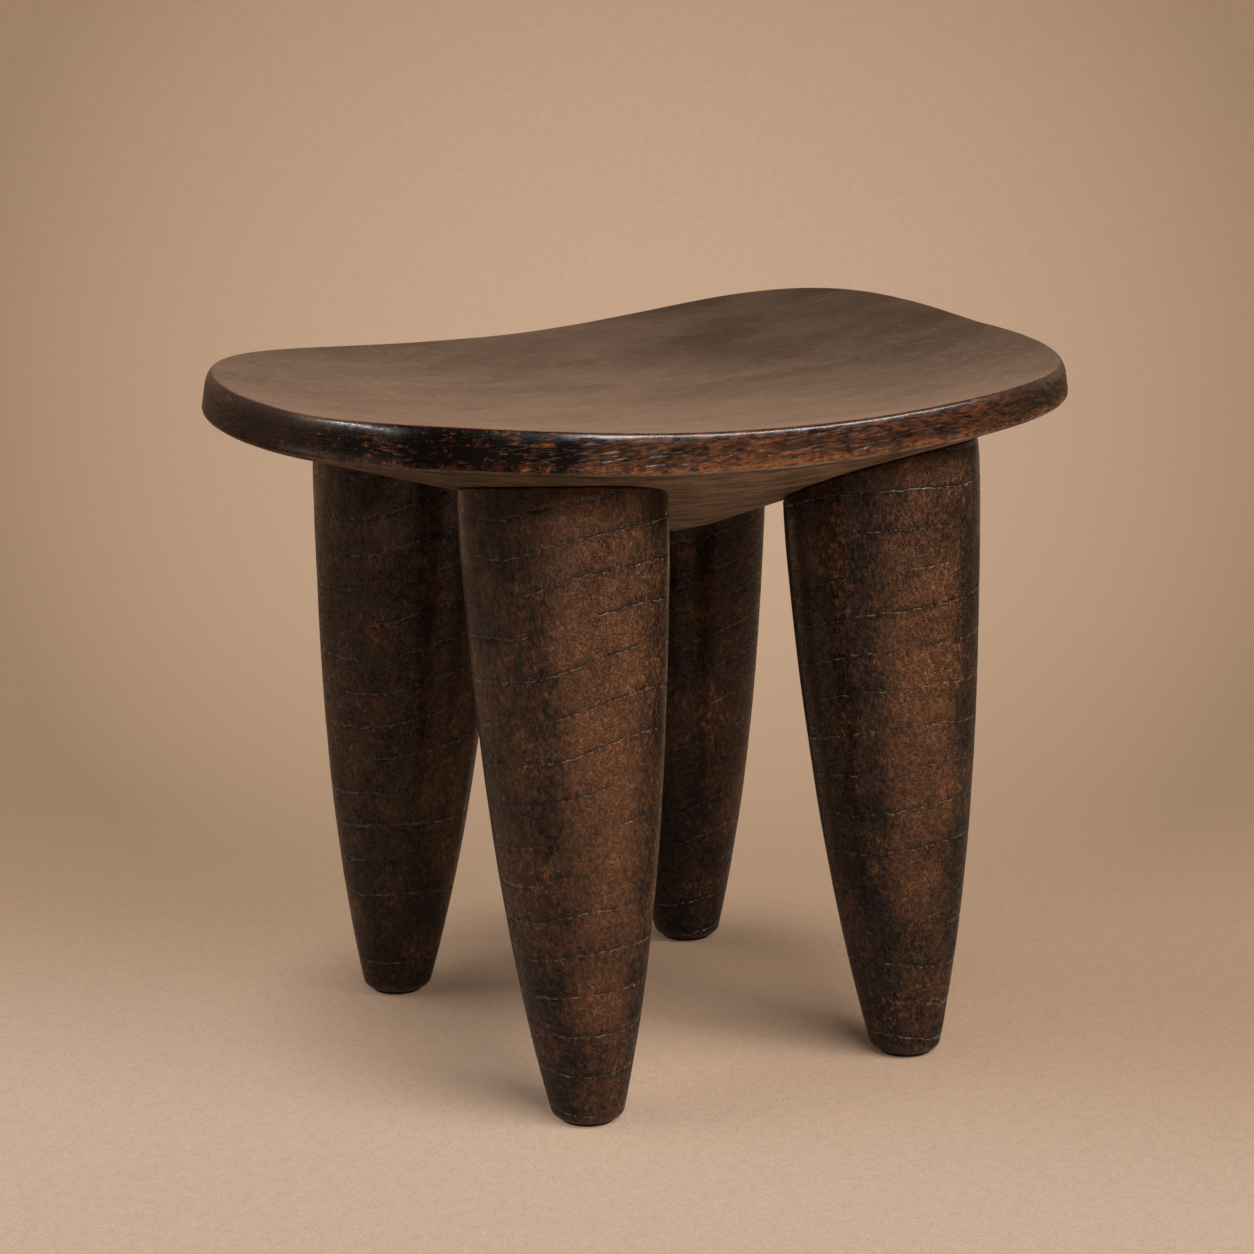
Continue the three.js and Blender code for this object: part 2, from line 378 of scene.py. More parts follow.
def rgba(red, green, blue):
    """A screen colour from 0 to 255 as a node colour"""

    def linear(value):
        value /= 255
        return value / 12.92 if value <= 0.04045 else ((value + 0.055) / 1.055) ** 2.4

    return (*(linear(value) for value in (red, green, blue)), 1.0)


# Patterns that the carving and the stain share

# In metres, and the noise from which a pore is open
CRACK_SPACING = 0.02
CARVED_CRACK_WIDTH = 0.0008
PORE_SIZE = (0.008, 0.008, 0.0011)
PORE_LEVEL = 0.6


def crack_lines(net, place):
    """The height over the nearest thin, nearly level crack, and where the cracks are open"""
    x, y, z = net.split(place)
    wander = net.noise(place, (0.11, 0.11, 0.2), detail=1.0)
    ragged = net.noise(place, 0.0055, detail=3.0, roughness=0.6, shift=5.0)
    level = z - 0.12 * x + 0.08 * y + 0.035 * wander + 0.004 * ragged
    over = ((level / CRACK_SPACING).math("FRACT") - 0.5) * CRACK_SPACING
    here = net.noise(place, (0.07, 0.07, 0.02), detail=2.0, shift=9.0).soft(0.42, 0.5)
    broken = net.noise(place, (0.005, 0.005, 0.012), detail=2.0, shift=2.0).soft(0.36, 0.5)
    return over, here * broken


def carved_cracks(net, place):
    """1 in the middle of a crack that is cut into the mesh"""
    over, there = crack_lines(net, place)
    return over.math("ABSOLUTE").soft(CARVED_CRACK_WIDTH, CARVED_CRACK_WIDTH * 0.2) * there


def dashes(net, place):
    """Short open pores that lie along the grain"""
    field = net.noise(place, PORE_SIZE, detail=0.6, roughness=0.4)
    crowd = net.noise(place, 0.03, detail=1.0, shift=11.0) - 0.5
    return (field + 0.25 * crowd).soft(PORE_LEVEL, PORE_LEVEL + 0.07)


# Meshes


def facets(count):
    return count // 1


def circle(radius, sides):
    """Evenly spaced level points round the origin"""
    turn = np.linspace(0, 2 * math.pi, sides, endpoint=False)
    return np.column_stack([np.cos(turn), np.sin(turn)]) * radius


def new_object(name, data):
    piece = bpy.data.objects.new(name, data)
    bpy.context.collection.objects.link(piece)
    return piece


def dress(piece, material):
    """Gives a piece this one material"""
    piece.data.materials.clear()
    piece.data.materials.append(material)


def apply_modifiers(piece):
    """Turns what the modifiers make of a piece into its plain mesh"""
    graph = bpy.context.evaluated_depsgraph_get()
    mesh = bpy.data.meshes.new_from_object(piece.evaluated_get(graph))
    old = piece.data
    piece.modifiers.clear()
    piece.data = mesh
    bpy.data.meshes.remove(old)


def add_nodes_modifier(piece, tree, values):
    """Puts a node tree on a piece and sets its named inputs"""
    modifier = piece.modifiers.new(tree.name, "NODES")
    modifier.node_group = tree
    for item in tree.interface.items_tree:
        if item.item_type == "SOCKET" and item.in_out == "INPUT" and item.name in values:
            modifier[item.identifier] = values[item.name]


def new_tree(name, kind, inputs, outputs):
    """A node tree, as a Net with its two end nodes; its sockets are named under their kinds"""
    tree = bpy.data.node_groups.new(name, kind)
    for way, sockets in (("INPUT", inputs), ("OUTPUT", outputs)):
        for socket_kind, names in sockets.items():
            for socket in names:
                tree.interface.new_socket(
                    socket, in_out=way, socket_type=f"NodeSocket{socket_kind}"
                )
    net = Net(tree)
    given = net.node("NodeGroupInput")
    result = net.node("NodeGroupOutput")
    return net, given, result


def end_tree(net, given, result, geometry):
    """Ends a tree of geometry with its material and with nothing left as instances"""
    painted = net.node(
        "GeometryNodeSetMaterial", {"Geometry": geometry, "Material": given.outputs["Material"]}
    )
    real = net.node("GeometryNodeRealizeInstances", {"Geometry": painted.outputs[0]})
    net.plug(real.outputs[0], result.inputs[0])
    return net.tree


def skin_mesh(name, rows):
    """A closed mesh over rows of rings, whose first and last row are one point each"""
    count = rows[1].shape[0]
    vertices = np.concatenate([rows[0][:1], *rows[1:-1], rows[-1][:1]])
    ring = np.arange(count)
    after = np.roll(ring, -1)
    inner = len(rows) - 2
    starts = 1 + np.arange(inner - 1)[:, None] * count
    quads = np.stack(
        [starts + ring, starts + after, starts + count + after, starts + count + ring], axis=-1
    ).reshape(-1, 4)
    last = len(vertices) - 1
    low = np.stack([np.zeros(count, int), 1 + after, 1 + ring], axis=-1)
    top = last - count
    high = np.stack([np.full(count, last), top + ring, top + after], axis=-1)
    mesh = bpy.data.meshes.new(name)
    mesh.from_pydata(vertices.tolist(), [], low.tolist() + quads.tolist() + high.tolist())
    mesh.shade_smooth()
    return mesh


def store_floats(mesh, name, values):
    attribute = mesh.attributes.new(name, "FLOAT", "POINT")
    attribute.data.foreach_set("value", np.ascontiguousarray(values, np.float32))


# Seat

# Points tried for each one kept, and how far the hand-cut outline strays, as shares of its size
OUTLINE_SAMPLES = 24
STRAY_COSINE, STRAY_SINE = 0.007, 0.011

# Rows of facets, from the belly's point to the middle of the dish
BELLY_ROWS, CREASE_ROWS, LOWER_ARRIS_ROWS = 17, 6, 7
FACE_ROWS, TOP_ARRIS_ROWS, DISH_ROWS = 23, 13, 18

# In metres: the reach of the belly and the dish, and how wide the wear of an edge is; beside the
# belly's crease the first width is that of the dirt and painted shade
MIDDLE_TO_RIM = 0.16
EDGE_WEAR_AND_SHADE, FACE_WEAR = 0.0012, 0.0018


def outline(sizes, count):
    """Evenly spaced points of the seat's outline and the way out at each"""
    angle = np.linspace(0, 2 * math.pi, OUTLINE_SAMPLES * count, endpoint=False)
    cosine, sine = np.cos(angle), np.sin(angle)
    wander = 1 + sizes.skew * np.sin(2 * angle)
    wander = wander + STRAY_COSINE * np.cos(3 * angle) + STRAY_SINE * np.sin(3 * angle)
    raw = np.stack(
        [
            np.sign(cosine) * np.abs(cosine) ** (2 / sizes.side_exponent) * wander,
            np.sign(sine) * np.abs(sine) ** (2 / sizes.end_exponent) * wander,
        ],
        axis=-1,
    )
    low, high = raw.min(0), raw.max(0)
    dense = (raw - (low + high) / 2) / (high - low) * (sizes.length, sizes.width)
    closed = np.concatenate([dense, dense[:1]])
    run = np.concatenate([[0], np.cumsum(np.linalg.norm(np.diff(closed, axis=0), axis=1))])
    at = np.arange(count) / count * run[-1]
    points = np.stack([np.interp(at, run, closed[:, axis]) for axis in (0, 1)], axis=-1)
    along = np.roll(points, -1, axis=0) - np.roll(points, 1, axis=0)
    outward = np.stack([along[:, 1], -along[:, 0]], axis=-1)
    return points, outward / np.linalg.norm(outward, axis=1, keepdims=True)


def dish(sizes, x, y):
    return (
        sizes.dish_height
        + sizes.end_rise * (2 * x / sizes.length) ** 2
        + sizes.side_rise * (2 * y / sizes.width) ** 2
    )


def rim_ring(sizes, edge, outward, inset, drop):
    """A ring of the rim, so far in from the outline and so far down its face"""
    flat = edge - outward * inset
    slope = 8 * sizes.end_rise * edge[:, 0] / sizes.length**2
    down = np.stack([slope, np.zeros_like(slope), -np.ones_like(slope)], axis=-1)
    down /= np.linalg.norm(down, axis=1, keepdims=True)
    top = np.column_stack([flat, dish(sizes, flat[:, 0], flat[:, 1])])
    return top + down * np.reshape(drop, (-1, 1))


def fading(distance, width):
    """1 at an edge, less the farther from it"""
    return math.exp(-((distance / width) ** 2))


def seat_rows(sizes, columns):
    """Rings from the belly's point, over the rim, to the middle of the dish

    Each has its wear and shade: 1 where hands polish it, below 0 in the crease by the belly and
    under the rim, where dirt settles and shade is painted.
    """
    edge, outward = outline(sizes, columns)
    low, high, tall = sizes.bottom_radius, sizes.top_radius, sizes.top_drop
    height = sizes.rim * (1 - sizes.rim_taper * 2 * edge[:, 0] / sizes.length)
    rows, lightness = [], []

    def add(row, wear):
        rows.append(row)
        lightness.append(wear)

    def ring(inset, drop):
        return rim_ring(sizes, edge, outward, inset, drop)

    point = np.array([*sizes.belly_point, sizes.dish_height - sizes.belly_depth])
    ledge = ring(low + sizes.ledge, height)
    blunt = sizes.belly_tip
    for share in 1 - (1 - np.linspace(0, 1, BELLY_ROWS)) ** 1.7:
        rise = (math.hypot(share, blunt) - blunt) / (math.hypot(1, blunt) - blunt)
        belly = point + (ledge - point) * share
        belly[:, 2] = point[2] + (ledge[:, 2] - point[2]) * rise
        add(belly, -fading((1 - share) * MIDDLE_TO_RIM, EDGE_WEAR_AND_SHADE))
    for share in np.linspace(0, 1, CREASE_ROWS)[1:-1]:
        lift = sizes.crease * math.sin(math.pi * share)
        add(ring(low + sizes.ledge * (1 - share), height - lift), -1.0)
    for turn in np.linspace(0, math.pi / 2, LOWER_ARRIS_ROWS):
        wear = math.sin(turn) ** 2 - 0.3 * math.cos(turn)
        add(ring(low * (1 - math.sin(turn)), height - low * (1 - math.cos(turn))), wear)
    for share in np.linspace(0, 1, FACE_ROWS)[1:-1]:
        drop = (height - low) * (1 - share) + tall * share
        near = share * (sizes.rim - low - tall)
        add(ring(0, drop), fading(near, FACE_WEAR))
    for turn in np.linspace(0, math.pi / 2, TOP_ARRIS_ROWS):
        wear = math.sin(turn) ** 2
        add(ring(high * (1 - math.cos(turn)), tall * (1 - math.sin(turn))), wear)
    inner = edge - outward * high
    for share in np.linspace(0, 1, DISH_ROWS)[1:] ** 1.5:
        flat = inner * (1 - share)
        top = np.column_stack([flat, dish(sizes, flat[:, 0], flat[:, 1])])
        add(top, fading(share * MIDDLE_TO_RIM, EDGE_WEAR_AND_SHADE))
    return rows, lightness


def seat_carving_tree():
    """Sinks pores and tool marks into the seat along its normals"""
    net, given, result = new_tree(
        "Seat Carving",
        "GeometryNodeTree",
        {"Geometry": ("Geometry",), "Float": ("Wave", "Pore"), "Material": ("Material",)},
        {"Geometry": ("Geometry",)},
    )
    position = net.node("GeometryNodeInputPosition").outputs[0]
    normal = net.node("GeometryNodeInputNormal").outputs[0]
    x, _, _ = net.split(position)
    side = net.split(normal)[2].math("ABSOLUTE").soft(0.45, 0.2)
    broad = net.noise(position, (0.06, 0.06, 0.03), detail=2.0) - 0.5
    dent = net.noise(position, (0.016, 0.016, 0.009), detail=2.0, shift=6.0) - 0.5
    wave = broad + dent * side * 0.35
    wrinkle = net.noise(position, (0.009, 0.009, 0.002), detail=0.0, shift=4.0) - 0.5
    relief = (wrinkle * 0.8 - dashes(net, position)) * side * (x.soft(-0.19, -0.13) * 0.8 + 0.2)
    offset = wave * Signal(net, given.outputs["Wave"]) + relief * Signal(net, given.outputs["Pore"])
    moved = net.node(
        "GeometryNodeSetPosition",
        {
            "Geometry": given.outputs["Geometry"],
            "Offset": net.vector("SCALE", normal, scale=offset),
        },
    )
    return end_tree(net, given, result, moved.outputs[0])


class STOOL_OT_seat(bpy.types.Operator):
    """Carve the seat from its plank"""

    bl_idname = "stool.seat"
    bl_label = "Seat"

    def execute(self, context):
        sizes = context.scene.stool_seat
        columns = facets(sizes.columns)
        rows, lightness = seat_rows(sizes, columns)
        mesh = skin_mesh("seat", rows)
        lightness = [lightness[0]] + [w for w in lightness[1:-1] for _ in range(columns)] + [lightness[-1]]
        store_floats(mesh, WEAR_AND_SHADE_ATTRIBUTE, lightness)
        seat = new_object("carved_seat", mesh)
        add_nodes_modifier(
            seat,
            seat_carving_tree(),
            {"Wave": sizes.wave, "Pore": sizes.pore, "Material": seat_material()},
        )
        apply_modifiers(seat)
        return {"FINISHED"}


# Legs

# The tree's inputs that are sizes of every leg, and those that are fitted to one leg
LEG_SIZES = (
    "Height", "Top Radius", "Foot Radius", "Straight Share", "Arris", "Shoulder", "Neck", "Gap",
    "Tenon Radius", "Wave", "Crack",
)
LEG_FITS = ("Foot Lift", "Tenon Top", "Recess Radius", "Recess Top")

# A leg starts as a drum. Each end of it becomes the shoulder or the foot as far in as the hole's
# edge, then the wall of the tenon or the recess, then its flat end, all as shares of the radius
CORNER, HOLE_EDGE, HOLE_FLOOR = 0.999, 0.5, 0.25
DRUM_END_RINGS = 16
CROWDED_ENDS = 0.88

BULLET_POWER = 3.0
NECK_HEIGHT = 0.04

# From one leg's place in the grain to the next one's, in metres
NEXT_LEG = Vector((0.73, 0.41, 0.29))


def leg_tree():
    """A bullet that stands on its foot and is fitted to the underside of the seat"""
    net, given, result = new_tree(
        "Bullet Leg",
        "GeometryNodeTree",
        {
            "Geometry": ("Geometry",),
            "Object": ("Seat",),
            "Vector": ("Foot", "Rake", "Pattern Shift"),
            "Float": LEG_SIZES + LEG_FITS,
            "Int": ("Sides", "Rings"),
            "Material": ("Material",),
        },
        {"Geometry": ("Geometry",)},
    )

    def size(name):
        return Signal(net, given.outputs[name])

    height, gap = size("Height"), size("Gap")
    drum = net.node(
        "GeometryNodeMeshCylinder",
        {
            "Vertices": given.outputs["Sides"],
            "Side Segments": given.outputs["Rings"],
            "Fill Segments": DRUM_END_RINGS,
            "Radius": 1.0,
            "Depth": 1.0,
        },
        fill_type="TRIANGLE_FAN",
    )
    on_drum = net.node("GeometryNodeInputPosition").outputs[0]
    kept = net.store(drum.outputs[0], "drum_place", on_drum)
    x, y, z = net.split(net.stored("drum_place"))
    reach = (x * x + y * y).math("SQRT")
    span = reach.math("MAXIMUM", 1e-5)
    out = net.join(x / span, y / span, 0.0)
    share = z + 0.5
    full_turn = 2 * math.pi
    eased = share - CROWDED_ENDS / full_turn * (share * full_turn).math("SINE")
    annulus = reach.ramp(HOLE_EDGE, CORNER)
    core = reach.ramp(0.0, HOLE_FLOOR)
    wall = reach.ramp(HOLE_EDGE, HOLE_FLOOR)

    def radius_at(level):
        low = (level / height).clamp()
        bullet = 1.0 - (1.0 - low) ** BULLET_POWER
        straight = size("Straight Share")
        swell = straight * low + (1.0 - straight) * bullet
        return size("Foot Radius") + (size("Top Radius") - size("Foot Radius")) * swell

    def axis_at(level):
        lean = net.vector("SCALE", given.outputs["Rake"], scale=level / height)
        return net.vector("ADD", given.outputs["Foot"], lean)

    seat = net.node("GeometryNodeObjectInfo", {"Object": given.outputs["Seat"]})

    def underside(centre, radius):
        """How high the seat lies over a point of a level circle"""
        start = net.vector("MULTIPLY_ADD", out, net.join(radius, radius, radius), centre)
        ray = net.node(
            "GeometryNodeRaycast",
            {
                "Target Geometry": seat.outputs["Geometry"],
                "Source Position": net.vector("MULTIPLY", start, (1.0, 1.0, 0.0)),
                "Ray Direction": (0.0, 0.0, 1.0),
                "Ray Length": 1.0,
            },
        )
        return net.split(ray.outputs["Hit Position"])[2] - gap

    first = underside(axis_at(height), size("Top Radius"))
    top = underside(axis_at(first), radius_at(first))
    low = size("Foot Lift")
    level = low + (top - low) * eased

    def rounding(radius, distance):
        """How far a rounded edge lies inwards at this distance from its end"""
        inside = radius - distance.math("MINIMUM", radius)
        return radius - (radius * radius - inside * inside).math("SQRT")

    rounded = (
        radius_at(level)
        - rounding(size("Arris"), level - low)
        - rounding(size("Shoulder"), top - level)
        - (top - level).ramp(NECK_HEIGHT, 0.0) ** 2.0 * size("Neck")
    )
    at_top = share.math("GREATER_THAN", 0.5)

    def pick(low_value, top_value):
        return low_value + (top_value - low_value) * at_top

    hole = pick(size("Recess Radius"), size("Tenon Radius"))
    radius = (hole + (rounded - hole) * annulus) * core
    tenon_axis = net.vector("ADD", given.outputs["Foot"], given.outputs["Rake"])
    upright = pick(annulus * 0.0, 1.0 - annulus)
    centre = net.node(
        "ShaderNodeMix", {0: upright, 4: axis_at(level), 5: tenon_axis}, data_type="VECTOR"
    ).outputs[1]
    shoulder = underside(centre, radius.math("MAXIMUM", size("Tenon Radius") + gap))
    on_side = reach.math("GREATER_THAN", CORNER)
    cap = pick(low, shoulder)
    end = pick(size("Recess Top"), size("Tenon Top"))
    cap = cap + (end - cap) * wall
    final_level = cap + (level - cap) * on_side
    spread = net.vector("MULTIPLY_ADD", out, net.join(radius, radius, 0.0), centre)
    place = net.vector("MULTIPLY_ADD", spread, (1.0, 1.0, 0.0), net.join(0.0, 0.0, final_level))
    shaped = net.node("GeometryNodeSetPosition", {"Geometry": kept, "Position": place})

    straightened = net.vector(
        "ADD", net.vector("SUBTRACT", place, net.vector("MULTIPLY", centre, (1.0, 1.0, 0.0))),
        given.outputs["Pattern Shift"],
    )
    marked = net.store(shaped.outputs[0], PLACE_ATTRIBUTE, straightened)
    # Polish round the foot's arris; darker just under the shoulder against the seat, as dirt and as
    # painted shade
    lightness = (level - low).soft(0.006, 0.0) * on_side - (top - level).soft(0.0016, 0.0) * on_side
    marked = net.store(marked, WEAR_AND_SHADE_ATTRIBUTE, lightness, "FLOAT")
    pattern = net.stored(PLACE_ATTRIBUTE)
    free = on_side * (top - level).soft(0.0, 0.006) * (level - low).soft(0.0, 0.004)
    wave = net.noise(pattern, (0.05, 0.05, 0.035), detail=2.0, shift=3.0) - 0.5
    crack = carved_cracks(net, pattern)
    offset = free * (wave * size("Wave") - crack * size("Crack"))
    normal = net.node("GeometryNodeInputNormal").outputs[0]
    carved = net.node(
        "GeometryNodeSetPosition",
        {"Geometry": marked, "Offset": net.vector("SCALE", normal, scale=offset)},
    )
    spent = net.node(
        "GeometryNodeRemoveAttribute", {"Geometry": carved.outputs[0], "Name": "drum_place"}
    )
    smooth = net.node("GeometryNodeSetShadeSmooth", {"Geometry": spent.outputs[0]})
    return end_tree(net, given, result, smooth.outputs[0])


def centre_of(node):
    low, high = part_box(node)
    return (low + high) / 2


class STOOL_OT_legs(bpy.types.Operator):
    """Turn the legs and fit them to the belly of the seat"""

    bl_idname = "stool.legs"
    bl_label = "Legs"

    def execute(self, context):
        sizes = context.scene.stool_legs
        shared = {name: getattr(sizes, name.lower().replace(" ", "_")) for name in LEG_SIZES}
        tree = leg_tree()
        material = leg_material()
        for number, place in enumerate(PLACES):
            pad_low, pad_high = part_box(f"foot_pad_{place}")
            _, wedge_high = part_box(f"wedge_{place}")
            foot = centre_of(f"foot_pad_{place}") * Vector((1, 1, 0))
            top = centre_of(f"wedge_{place}") * Vector((1, 1, 0))
            leg = new_object(f"bullet_leg_{place}", bpy.data.meshes.new(f"leg_{place}"))
            add_nodes_modifier(
                leg,
                tree,
                {
                    **shared,
                    "Seat": bpy.data.objects["carved_seat"],
                    "Foot": foot,
                    "Rake": top - foot,
                    "Foot Lift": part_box(f"leg_{place}")[0].z,
                    "Tenon Top": wedge_high.z - sizes.end_gap,
                    "Recess Radius": (pad_high - pad_low).x / 2 + sizes.gap,
                    "Recess Top": pad_high.z + sizes.gap,
                    "Pattern Shift": NEXT_LEG * number,
                    "Sides": facets(sizes.sides),
                    "Rings": facets(sizes.rings),
                    "Material": material,
                },
            )
            apply_modifiers(leg)
        return {"FINISHED"}


# Joints

# A mortise's plug starts at this height, well under the seat
PLUG_FOOT = 0.2
PLUG_SIDES = 64


def mortise_plug(place, radius, gap):
    """A round plug the size of a mortise, from under the seat to the wedge's top"""
    _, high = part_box(f"wedge_{place}")
    centre = centre_of(f"wedge_{place}")
    flat = circle(radius, PLUG_SIDES) + (centre.x, centre.y)
    ends, rings = [], []
    for level in (PLUG_FOOT, high.z + gap):
        ends.append(np.array([(centre.x, centre.y, level)]))
        rings.append(np.column_stack([flat, np.full(PLUG_SIDES, level)]))
    return skin_mesh("mortise_plug", [ends[0], *rings, ends[1]])


def kerf_block(place, gap):
    """A block the size of a wedge's kerf, open at the end of the tenon"""
    low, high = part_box(f"wedge_{place}")
    room = Vector((gap, gap, gap))
    low, high = low - room, high + room
    flat = ((low.x, low.y), (high.x, low.y), (high.x, high.y), (low.x, high.y))
    corners = [(x, y, z) for z in (low.z, high.z) for x, y in flat]
    faces = [(3, 2, 1, 0), (4, 5, 6, 7), (0, 1, 5, 4), (1, 2, 6, 5), (2, 3, 7, 6), (3, 0, 4, 7)]
    mesh = bpy.data.meshes.new("kerf_block")
    mesh.from_pydata(corners, [], faces)
    return mesh


def cut_away(piece, meshes):
    """Takes these closed meshes out of a piece"""
    wood = piece.data.materials[-1]
    cutters = []
    for mesh in meshes:
        mesh.materials.append(wood)
        cutter = new_object(mesh.name, mesh)
        cutters.append(cutter)
        cut = piece.modifiers.new(cutter.name, "BOOLEAN")
        cut.operation, cut.solver, cut.object = "DIFFERENCE", "MANIFOLD", cutter
    apply_modifiers(piece)
    dress(piece, wood)
    for cutter in cutters:
        bpy.data.objects.remove(cutter)
    for mesh in meshes:
        bpy.data.meshes.remove(mesh)


class STOOL_OT_joints(bpy.types.Operator):
    """Cut the blind mortises in the seat and the kerfs in the tenons"""

    bl_idname = "stool.joints"
    bl_label = "Joints"

    def execute(self, context):
        sizes = context.scene.stool_legs
        seat = bpy.data.objects["carved_seat"]
        cut_away(seat, [mortise_plug(p, sizes.tenon_radius + sizes.gap, sizes.gap) for p in PLACES])
        pieces = [(seat, "seat", "seat_wood")]
        for place in PLACES:
            leg = bpy.data.objects[f"bullet_leg_{place}"]
            cut_away(leg, [kerf_block(place, sizes.gap)])
            pieces.append((leg, f"leg_{place}", "leg_wood"))
        for piece, node, finish in pieces:
            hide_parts(node)
            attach(piece, BODY)
        return {"FINISHED"}


# Stains and finishes

# The way that the legs' painted sheen faces: the front legs' stain is painted lighter on this side,
# a painted highlight of the main lamp
SHEEN_SIDE = (-0.225, -0.974, 0.0)


def new_material(name):
    material = bpy.data.materials.new(name)
    material.use_nodes = True
    material.node_tree.nodes.clear()
    net = Net(material.node_tree)
    output = net.node("ShaderNodeOutputMaterial")
    shader = net.node("ShaderNodeBsdfPrincipled")
    net.plug(shader.outputs[0], output.inputs[0])
    return material, net, shader


def place_group(net, tree, inputs):
    """The results of a shared tree, by name"""
    group = net.node("ShaderNodeGroup", inputs, node_tree=tree)
    return {socket.name: Signal(net, socket) for socket in group.outputs}


def shared_tree(name, inputs, outputs, fill):
    """A shader node group that is built once"""
    if name in bpy.data.node_groups:
        return bpy.data.node_groups[name]
    net, given, result = new_tree(name, "ShaderNodeTree", inputs, outputs)
    net.feed(result, fill(net, {s.name: s for s in given.outputs if s.name}))
    return net.tree


def fibre_tree():
    """Fibres along the grain, the stain's specks and clouds, and the lacquer's curly wrinkles"""

    def fill(net, given):
        place = given["Place"]
        stretched = net.vector("MULTIPLY", place, given["Fibre Scale"])
        fine = net.node(
            "ShaderNodeTexNoise",
            {"Vector": stretched, "Scale": 1.0, "Detail": 2.0, "Roughness": 0.6, "Distortion": 0.7},
        )
        clouds = net.noise(place, (0.024, 0.024, 0.034), detail=3.0, roughness=0.55, distortion=0.3)
        specks = net.noise(place, (0.003, 0.003, 0.004), detail=3.0, roughness=0.65, shift=4.0)
        curls = net.noise(place, (0.0038, 0.0038, 0.003), detail=1.0, distortion=1.6, shift=8.0)
        return {
            "Fibre": Signal(net, fine.outputs[0]).soft(0.36, 0.64),
            "Clouds": clouds.soft(0.32, 0.68),
            "Specks": specks.soft(0.38, 0.64),
            "Wrinkles": (curls - 0.5).math("ABSOLUTE").soft(0.07, 0.0),
        }

    return shared_tree(
        "Fibres",
        {"Vector": ("Place", "Fibre Scale")},
        {"Float": ("Fibre", "Clouds", "Specks", "Wrinkles")},
        fill,
    )


def pits_tree():
    """Small round pits, in a share of the cells of a grid of this size"""

    def fill(net, given):
        size, share = Signal(net, given["Size"]), Signal(net, given["Share"])
        cells = net.node(
            "ShaderNodeTexVoronoi",
            {"Vector": net.vector("SCALE", given["Place"], scale=1.0 / size), "Scale": 1.0},
            feature="F1",
        )
        chosen = net.split(cells.outputs["Color"])[0]
        near = Signal(net, cells.outputs["Distance"]).soft(0.16, 0.06)
        return {"Pits": near * chosen.math("LESS_THAN", share)}

    return shared_tree(
        "Pits", {"Vector": ("Place",), "Float": ("Size", "Share")}, {"Float": ("Pits",)}, fill
    )


def wear_and_shade_tree():
    """Splits a piece's wear and shade into its polished edges and its dark creases, which are dirt
    and painted shade, both a little ragged
    """

    def fill(net, given):
        attribute = net.node("ShaderNodeAttribute", attribute_name=WEAR_AND_SHADE_ATTRIBUTE)
        wear = Signal(net, attribute.outputs["Fac"])
        ragged = Signal(net, given["Ragged"])
        return {
            "Polish": (wear * (0.45 + 0.8 * ragged)).clamp(),
            "Dirt": ((0.0 - wear) * (0.7 + 0.5 * ragged)).clamp(),
        }

    return shared_tree("Wear", {"Float": ("Ragged",)}, {"Float": ("Polish", "Dirt")}, fill)


def add_bump(net, shader, height, depth):
    """Bumps of this depth in metres"""
    bump = net.node("ShaderNodeBump", {"Height": height, "Distance": depth, "Strength": 1.0})
    net.plug(bump.outputs[0], shader.inputs["Normal"])


